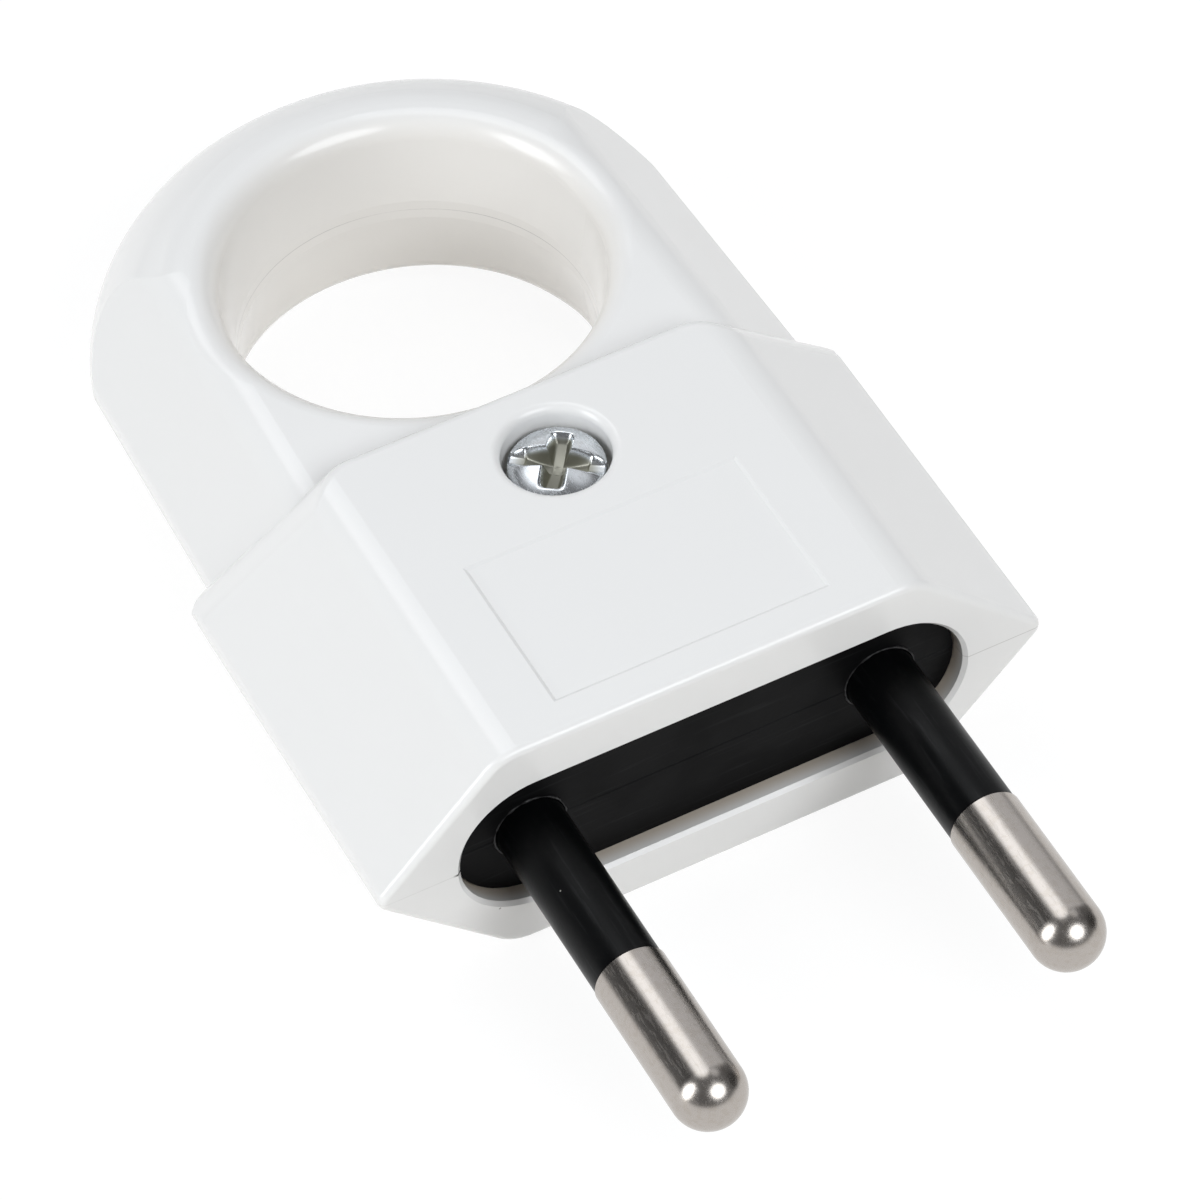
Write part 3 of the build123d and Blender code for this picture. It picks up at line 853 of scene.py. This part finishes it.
class FlashPair(PairTree):
    """Ragged bead of moulding flash round each sleeve, from a profile that is swept round a wavy ring."""

    COPY_TURN = 2.3

    def __init__(self) -> None:
        """Build the tree with the sizes of the ring and of its raggedness."""
        inputs = {
            "Sides": ("NodeSocketInt", 120),
            "Radius": ("NodeSocketFloat", 1.9 * MM),
            "Waviness": ("NodeSocketFloat", 0.05 * MM),
            "Ragged Scale": ("NodeSocketFloat", 1100.0),
            "Seed": ("NodeSocketFloat", 4.0),
        }
        super().__init__("flash_pair", inputs)

    def form(self) -> Socket:
        """Sweep the bead round a ring that wanders a little.

        Returns:
            Geometry of one bead in the XZ plane.
        """
        nodes, get = self.nodes, self.get
        circle = {"Resolution": get["Sides"], "Radius": get["Radius"]}
        path = nodes.add("GeometryNodeCurvePrimitiveCircle", circle)
        place = nodes.add("GeometryNodeInputPosition").outputs[0]
        noise = {"Vector": place, "W": get["Seed"], "Scale": get["Ragged Scale"], "Detail": 2.0}
        ragged = nodes.add("ShaderNodeTexNoise", noise, noise_dimensions="4D").outputs[0]
        outward = nodes.vector("NORMALIZE", place).outputs[0]
        push = nodes.math("MULTIPLY", nodes.math("SUBTRACT", ragged, 0.5), get["Waviness"])
        scaled = nodes.add("ShaderNodeVectorMath", {0: outward, "Scale": push}, operation="SCALE")
        pushed = {"Geometry": path.outputs[0], "Offset": scaled.outputs[0]}
        wavy = nodes.add("GeometryNodeSetPosition", pushed)
        size = nodes.ramp(ragged, 0.32, 0.68, 0.15, 1.0)
        swept = {"Curve": wavy.outputs[0], "Profile Curve": get["Geometry"], "Scale": size}
        bead = nodes.add("GeometryNodeCurveToMesh", swept)
        laid = {"Geometry": bead.outputs[0], "Rotation": (math.pi / 2, 0.0, 0.0)}
        return nodes.add("GeometryNodeTransform", laid).outputs[0]

    def varied(self, copies: Socket) -> Socket:
        """Turn each copy differently about its own axis.

        Args:
            copies: The two beads.

        Returns:
            The two beads, turned.
        """
        nodes = self.nodes
        number = nodes.add("GeometryNodeInputIndex").outputs[0]
        angle = nodes.math("MULTIPLY", number, self.COPY_TURN)
        turn = nodes.add("ShaderNodeCombineXYZ", {"Y": angle}).outputs[0]
        return nodes.add("GeometryNodeRotateInstances", {"Instances": copies, "Rotation": turn}).outputs[0]


@dataclass
class PinCarrier:
    """The black carrier in the front opening, split on the parting plane, with flash round the sleeves."""

    nodes: dict[str, bpy.types.Object]
    flash: FlashPair
    spacing: float = 19.0 * MM
    face: float = -13.8953 * MM
    height: float = 7.0 * MM
    hole_radius: float = 1.9 * MM
    bead: float = 0.1 * MM
    bead_steps: int = 10
    sides: int = 160
    waviness: float = 0.09 * MM
    ragged_scale: float = 1900.0
    seed: float = 4.0

    def bead_profile(self) -> list[Point]:
        """Round section of the flash, drawn about its own middle."""
        turns = [2.0 * math.pi * step / self.bead_steps for step in range(self.bead_steps)]
        return [(self.bead * math.cos(turn), self.bead * math.sin(turn)) for turn in turns]

    def build(self, plastic: bpy.types.Material, flash: bpy.types.Material) -> None:
        """Dress both halves and add the flash.

        Args:
            plastic: Black plastic.
            flash: Shinier skin of the flash.
        """
        for half in Half:
            Pieces.coat(self.nodes[f"carrier_{half.value}"], plastic)
        sizes = {
            "Sides": self.sides,
            "Radius": self.hole_radius,
            "Waviness": self.waviness,
            "Ragged Scale": self.ragged_scale,
            "Seed": self.seed,
        }
        place = {"Spacing": self.spacing, "Front": self.face, "Height": self.height, "Material": flash}
        beads = self.flash.make("sleeve_flash", self.bead_profile(), True, {**sizes, **place})
        Pieces.shade(beads, 60.0)
        Pieces.dress(beads, flash, Slot.BLACK_CARRIER, ())


@dataclass
class Contacts:
    """Both pins with their sleeves, turned about the pin axes."""

    turned: TurnedPair
    spacing: float = 19.0 * MM
    front: float = -14.8953 * MM
    height: float = 7.0 * MM
    pin_radius: float = 1.9 * MM
    pin_reach: float = 18.9 * MM
    sleeve_radius: float = 1.82 * MM
    sleeve_reach: float = 9.3 * MM
    neck_radius: float = 1.25 * MM
    neck_end: float = 3.2 * MM
    stem_radius: float = 1.65 * MM
    collar: Triple = (2.6 * MM, 6.0 * MM, 7.2 * MM)
    terminal: Triple = (2.75 * MM, 8.3 * MM, 15.5 * MM)
    terminal_flat: float = 2.4 * MM
    core_radius: float = 1.3 * MM
    core_depth: float = 6.0 * MM
    thread_place: float = 11.6 * MM
    thread_radius: float = 1.25 * MM
    fit: float = 0.05 * MM
    rim: float = 0.06 * MM
    tip_steps: int = 24

    def settings(self, material: bpy.types.Material) -> dict[str, Any]:
        """Values for the turning tree."""
        return {"Spacing": self.spacing, "Front": self.front, "Height": self.height, "Material": material}

    def cuts(self) -> dict[str, Any]:
        """Flat and threaded hole of the terminal, as values for the turning tree.

        Returns:
            Values by the names of the tree's inputs.
        """
        barrel, start, stop = self.terminal
        above = barrel - self.terminal_flat + self.rim
        size = (2.5 * barrel, stop - start + 2.0 * self.rim, above)
        place = (0.0, (start + stop) / 2.0, self.terminal_flat + above / 2.0)
        hole = (0.0, self.thread_place, barrel / 2.0)
        return {
            "Cut": True,
            "Flat Size": size,
            "Flat Place": place,
            "Hole Radius": self.thread_radius,
            "Hole Depth": barrel,
            "Hole Place": hole,
        }

    def pin_profile(self) -> list[Point]:
        """Profile of a pin from its round tip to its drilled terminal.

        Returns:
            Radius and place along the axis of each point.
        """
        r, tip = self.pin_radius, self.pin_radius - self.pin_reach
        points = []
        for step in range(self.tip_steps + 1):
            turn = math.pi / 2 * step / self.tip_steps
            points.append((r * math.sin(turn), tip - r * math.cos(turn)))
        wide, start, stop = self.collar
        barrel, front, rear = self.terminal
        points += [(r, -self.sleeve_reach - self.rim), (r - self.rim, -self.sleeve_reach)]
        points += [(self.neck_radius, -self.sleeve_reach), (self.neck_radius, self.neck_end)]
        points += [(self.stem_radius, self.neck_end), (self.stem_radius, start), (wide, start), (wide, stop)]
        points += [(self.stem_radius, stop), (self.stem_radius, front), (barrel, front), (barrel, rear)]
        floor = rear - self.core_depth
        return points + [(self.core_radius, rear), (self.core_radius, floor), (0.0, floor)]

    def sleeve_profile(self) -> list[Point]:
        """Profile of a sleeve with softened ends.

        Returns:
            Radius and place along the axis of each point of the closed profile.
        """
        inner, outer = self.neck_radius + self.fit, self.sleeve_radius
        front, rear = -self.sleeve_reach, self.neck_end
        softened = [(outer - self.rim, front), (outer, front + self.rim)]
        return [(inner, front), *softened, (outer, rear), (inner, rear)]

    def build(self, nickel: bpy.types.Material, sleeve: bpy.types.Material) -> None:
        """Make and dress the pins and the sleeves.

        Args:
            nickel: Finish of the pins.
            sleeve: Finish of the sleeves.
        """
        values = {**self.settings(nickel), **self.cuts()}
        pins = self.turned.make("contact_pins", self.pin_profile(), False, values)
        sleeves = self.turned.make("pin_sleeves", self.sleeve_profile(), True, self.settings(sleeve))
        for piece in (pins, sleeves):
            Pieces.shade(piece, 30.0)
        Pieces.dress(pins, nickel, Slot.NICKEL_PIN, ("pin_left", "pin_right"))
        Pieces.dress(sleeves, sleeve, Slot.BLACK_SLEEVE, ("sleeve_left", "sleeve_right"))


@dataclass
class ClampScrew:
    """The housing screw: domed head with a slot and a cross pressed into it, shank and chamfered end."""

    axis: Point = (0.0, 1.2547 * MM)
    top: float = 13.6 * MM
    dome_drop: float = 0.6 * MM
    head_radius: float = 2.45 * MM
    head_seat: float = 11.5 * MM
    rim: float = 0.1 * MM
    turn: float = -37.0
    slot_half: float = 0.4 * MM
    slot_depth: float = 0.72 * MM
    cross_half: float = 0.46 * MM
    cross_reach: float = 1.72 * MM
    cross_depth: float = 1.2 * MM
    cross_rise: float = 0.45 * MM
    wall: float = 0.46 * MM
    shank_radius: float = 1.45 * MM
    shank_end: float = 0.7 * MM
    shank_chamfer: float = 0.25 * MM
    sides: int = 224
    rings: int = 72

    def dome(self, radius: float) -> float:
        """Height of the plain dome.

        Args:
            radius: Distance from the axis.

        Returns:
            Height in metres.
        """
        bend = (self.head_radius**2 + self.dome_drop**2) / (2.0 * self.dome_drop)
        return self.top - bend + math.sqrt(bend**2 - radius**2)

    def pressed(self, x: float, y: float) -> float:
        """Height of the head with its recess.

        Args:
            x: Place from the axis along X.
            y: Place from the axis along Y.

        Returns:
            Height in metres.
        """
        angle = math.radians(self.turn)
        along = x * math.cos(angle) + y * math.sin(angle)
        across = y * math.cos(angle) - x * math.sin(angle)
        plain = self.dome(math.hypot(x, y))
        share = smooth_step((self.slot_half - abs(across)) / self.wall + 0.5)
        lowest = plain + share * min(0.0, self.top - self.slot_depth - plain)
        for run, side in ((along, across), (across, along)):
            share = smooth_step((self.cross_half - abs(side)) / self.wall + 0.5)
            share *= smooth_step((self.cross_reach - abs(run)) / self.wall + 0.5)
            floor = self.top - self.cross_depth + self.cross_rise * (abs(run) / self.cross_reach) ** 1.5
            lowest = min(lowest, plain + share * min(0.0, floor - plain))
        return lowest

    def outline(self) -> list[Point]:
        """Rim, side, seat, shank and end below the dome.

        Returns:
            Radius and height of each point.
        """
        r, edge = self.head_radius, self.top - self.dome_drop
        end, chamfer = self.shank_end, self.shank_chamfer
        rim = [(r - 0.3 * self.rim, edge - 0.15 * self.rim), (r, edge - self.rim)]
        shank = [(self.shank_radius, self.head_seat), (self.shank_radius, end + chamfer)]
        return [*rim, (r, self.head_seat), *shank, (self.shank_radius - chamfer, end)]

    def mesh(self) -> bpy.types.Mesh:
        """Turn the outline and press the recess into the dome.

        Returns:
            The screw's mesh in place.
        """
        turns = [2.0 * math.pi * side / self.sides for side in range(self.sides)]
        x0, y0 = self.axis
        points = [(x0, y0, self.pressed(0.0, 0.0))]
        for ring in range(1, self.rings + 1):
            radius = (self.head_radius - self.rim) * ring / self.rings
            for turn in turns:
                x, y = radius * math.cos(turn), radius * math.sin(turn)
                points.append((x0 + x, y0 + y, self.pressed(x, y)))
        for radius, height in self.outline():
            points += [(x0 + radius * math.cos(turn), y0 + radius * math.sin(turn), height) for turn in turns]
        points.append((x0, y0, self.shank_end))
        mesh = bpy.data.meshes.new("clamp_screw")
        mesh.from_pydata(points, [], self.faces(len(points)))
        mesh.update()
        return mesh

    def faces(self, count: int) -> list[tuple[int, ...]]:
        """Faces between the rings of points.

        Args:
            count: Number of points, with one at each end of the axis.

        Returns:
            Point numbers of each face, seen from outside.
        """
        n = self.sides
        faces: list[tuple[int, ...]] = []
        for side in range(n):
            after = (side + 1) % n
            faces.append((0, 1 + side, 1 + after))
            for start in range(1, count - 1 - n, n):
                faces.append((start + side, start + n + side, start + n + after, start + after))
            faces.append((count - 1, count - 1 - n + after, count - 1 - n + side))
        return faces

    def build(self, plate: bpy.types.Material) -> None:
        """Make and dress the screw.

        Args:
            plate: Finish of the screw.
        """
        screw = Pieces.link("clamp_screw", self.mesh())
        Pieces.shade(screw, 50.0)
        Pieces.dress(screw, plate, Slot.ZINC_STEEL, ("housing_screw",))


@dataclass
class Fasteners:
    """The clamp screw, its nut and the two terminal screws."""

    nodes: dict[str, bpy.types.Object]
    screw: ClampScrew
    packed: tuple[str, ...] = ("housing_nut", "terminal_screw_left", "terminal_screw_right")

    def build(self, plate: bpy.types.Material, zinc: bpy.types.Material) -> None:
        """Make the clamp screw and dress the others.

        Args:
            plate: Finish of the clamp screw.
            zinc: Finish of the nut and the terminal screws.
        """
        self.screw.build(plate)
        for name in self.packed:
            Pieces.coat(self.nodes[name], zinc)


@dataclass(frozen=True)
class SoftLight:
    """One large soft light aimed at the plug."""

    name: str
    azimuth: float
    elevation: float
    width: float
    height: float
    watts: float
    distance: float = 0.9
    colour: Colour = (0.945, 0.975, 1.0)

    def build(self, target: Vector) -> None:
        """Add the light.

        Args:
            target: Point that it faces.
        """
        data = bpy.data.lights.new(self.name, "AREA")
        data.shape = "ELLIPSE"
        data.size = self.width
        data.size_y = self.height
        data.energy = self.watts
        data.color = self.colour
        lamp = bpy.data.objects.new(self.name, data)
        bpy.context.scene.collection.objects.link(lamp)
        away = aim(self.azimuth, self.elevation)
        lamp.location = target + away * self.distance
        lamp.rotation_euler = away.to_track_quat("Z", "Y").to_euler()


@dataclass(frozen=True)
class Card:
    """Soft-edged card in the room round the plug, bright or dark."""

    middle: Triple
    reach: Triple
    light: Colour
    core: float = 0.6

    def build(self, nodes: Nodes, place: Socket, behind: Socket) -> Socket:
        """Hang the card in front of what is already there.

        Args:
            nodes: Helper of the room's tree.
            place: Direction that is looked up.
            behind: Light from that direction without the card.

        Returns:
            Light from that direction with the card.
        """
        away = nodes.vector("SUBTRACT", place, self.middle)
        scaled = nodes.vector("DIVIDE", away.outputs[0], self.reach)
        length = nodes.vector("LENGTH", scaled.outputs[0]).outputs["Value"]
        return nodes.mix(nodes.ramp(length, 1.0, self.core), behind, self.light)


@dataclass
class Studio:
    """Floor, lights, room and the camera at the photograph's angle."""

    floor_reach: float = 4.0
    floor_height: float = -0.02 * MM
    camera_place: Triple = (-89.983 * MM, -198.699 * MM, 253.651 * MM)
    camera_azimuth: float = -24.667
    camera_elevation: float = 48.8545
    camera_roll: float = 3.6064
    lens: float = 200.52
    target: Triple = (0.0, -2.0 * MM, 7.0 * MM)
    lights: tuple[SoftLight, ...] = (
        SoftLight("left_soft_light", azimuth=-92.0, elevation=27.0, width=0.45, height=0.76, watts=4.3),
        SoftLight("right_soft_light", azimuth=14.0, elevation=41.0, width=0.66, height=0.6, watts=4.4),
    )
    room: Colour = (0.14, 0.14, 0.142)
    horizon: Colour = (1.0, 1.0, 1.0)
    cards: tuple[Card, ...] = (
        Card((-0.62, 0.62, 0.42), (0.5, 0.32, 0.5), (0.015, 0.015, 0.015)),
        Card((0.95, -0.2, 0.25), (0.4, 0.4, 0.45), (0.04, 0.04, 0.04)),
        Card((0.52, 0.62, 0.6), (0.58, 0.32, 0.7), (0.82, 0.83, 0.85)),
        Card((-0.03, 0.46, 0.89), (0.34, 0.46, 0.36), (2.1, 2.15, 2.2), core=0.7),
        Card((0.43, 0.13, 0.89), (0.24, 0.26, 0.2), (0.85, 0.86, 0.88)),
        Card((0.2, 0.92, 0.3), (0.6, 0.26, 0.3), (0.75, 0.75, 0.76)),
    )

    def build(self, paper: bpy.types.Material) -> None:
        """Set up the floor, the lights, the room and the camera.

        Args:
            paper: Finish of the floor.
        """
        self.floor(paper)
        for light in self.lights:
            light.build(Vector(self.target))
        self.surround()
        self.camera()

    def floor(self, paper: bpy.types.Material) -> None:
        """Lay the floor under the plug.

        Args:
            paper: Finish of the floor.
        """
        mesh = bpy.data.meshes.new("floor")
        r, z = self.floor_reach, self.floor_height
        mesh.from_pydata([(-r, -r, z), (r, -r, z), (r, r, z), (-r, r, z)], [], [(0, 1, 2, 3)])
        floor = Pieces.link("floor", mesh)
        floor.data.materials.append(paper)

    def surround(self) -> None:
        """Dim room with a pale horizon and cards round the plug, white where the camera looks past it."""
        world = bpy.data.worlds.new("studio_room")
        bpy.context.scene.world = world
        world.use_nodes = True
        nodes = Nodes(world.node_tree)
        place = nodes.add("ShaderNodeTexCoord").outputs["Generated"]
        height = nodes.add("ShaderNodeSeparateXYZ", {0: place}).outputs[2]
        light = nodes.mix(nodes.ramp(height, 0.04, 0.14), self.horizon, self.room)
        for card in self.cards:
            light = card.build(nodes, place, light)
        path = nodes.add("ShaderNodeLightPath")
        seen = nodes.mix(path.outputs["Is Camera Ray"], light, (1.0, 1.0, 1.0))
        nodes.tree.links.new(seen, world.node_tree.nodes["Background"].inputs["Color"])

    def camera(self) -> None:
        """Place the camera where the photograph was taken from."""
        data = bpy.data.cameras.new("photo_camera")
        data.lens = self.lens
        data.sensor_width = 36.0
        data.clip_start = 0.01
        camera = bpy.data.objects.new("photo_camera", data)
        bpy.context.scene.collection.objects.link(camera)
        back = aim(self.camera_azimuth, self.camera_elevation)
        level = (-back).to_track_quat("-Z", "Y").to_matrix().to_4x4()
        roll = Matrix.Rotation(-math.radians(self.camera_roll), 4, "Z")
        camera.matrix_world = Matrix.Translation(self.camera_place) @ level @ roll
        bpy.context.scene.camera = camera


def clear_scene() -> None:
    """Remove what a new file starts with."""
    for thing in list(bpy.data.objects):
        bpy.data.objects.remove(thing)


def main() -> None:
    """Build, dress and light the plug."""
    logging.basicConfig(level=logging.INFO, format="%(name)s: %(message)s")
    clear_scene()
    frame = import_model()
    bpy.context.scene.view_settings.view_transform = "Standard"
    effects = SurfaceEffects()
    white = GlossShell("white_gloss", (0.872, 0.866, 0.857), 0.15, 0.19).material(effects)
    carrier = BlackMoulding("carrier_black", (0.003, 0.003, 0.0033), 0.42, 0.55, stretch=(0.04, 1.0, 1.0))
    flash = BlackMoulding("flash_black", (0.006, 0.006, 0.0065), 0.3, 0.42, reflection=0.4)
    sleeve_black = (0.002, 0.0022, 0.0025)
    sleeve = BlackMoulding("sleeve_black", sleeve_black, 0.28, 0.38, speck_amount=0.03, reflection=0.12)
    nickel = PlatedMetal("nickel_plate", (0.46, 0.425, 0.395), 0.245, 0.29, stain_share=0.18)
    zinc = PlatedMetal("zinc_plate", (0.60, 0.63, 0.66), 0.2, 0.3)
    plate = ScrewPlate("screw_plate", (0.72, 0.75, 0.78), 0.22, 0.3, stain_share=0.1)
    paper = FloorPaper("floor_paper", (0.905, 0.875, 0.83), 0.6, 0.8)

    nodes = frame["nodes"]
    Housing(nodes).dress(white)
    PinCarrier(nodes, FlashPair()).build(carrier.material(effects), flash.material(effects))
    Contacts(TurnedPair()).build(nickel.material(effects), sleeve.material(effects))
    Fasteners(nodes, ClampScrew()).build(plate.material(effects), zinc.material(effects))
    Studio().build(paper.material(effects))


if __name__ == "__main__":
    main()
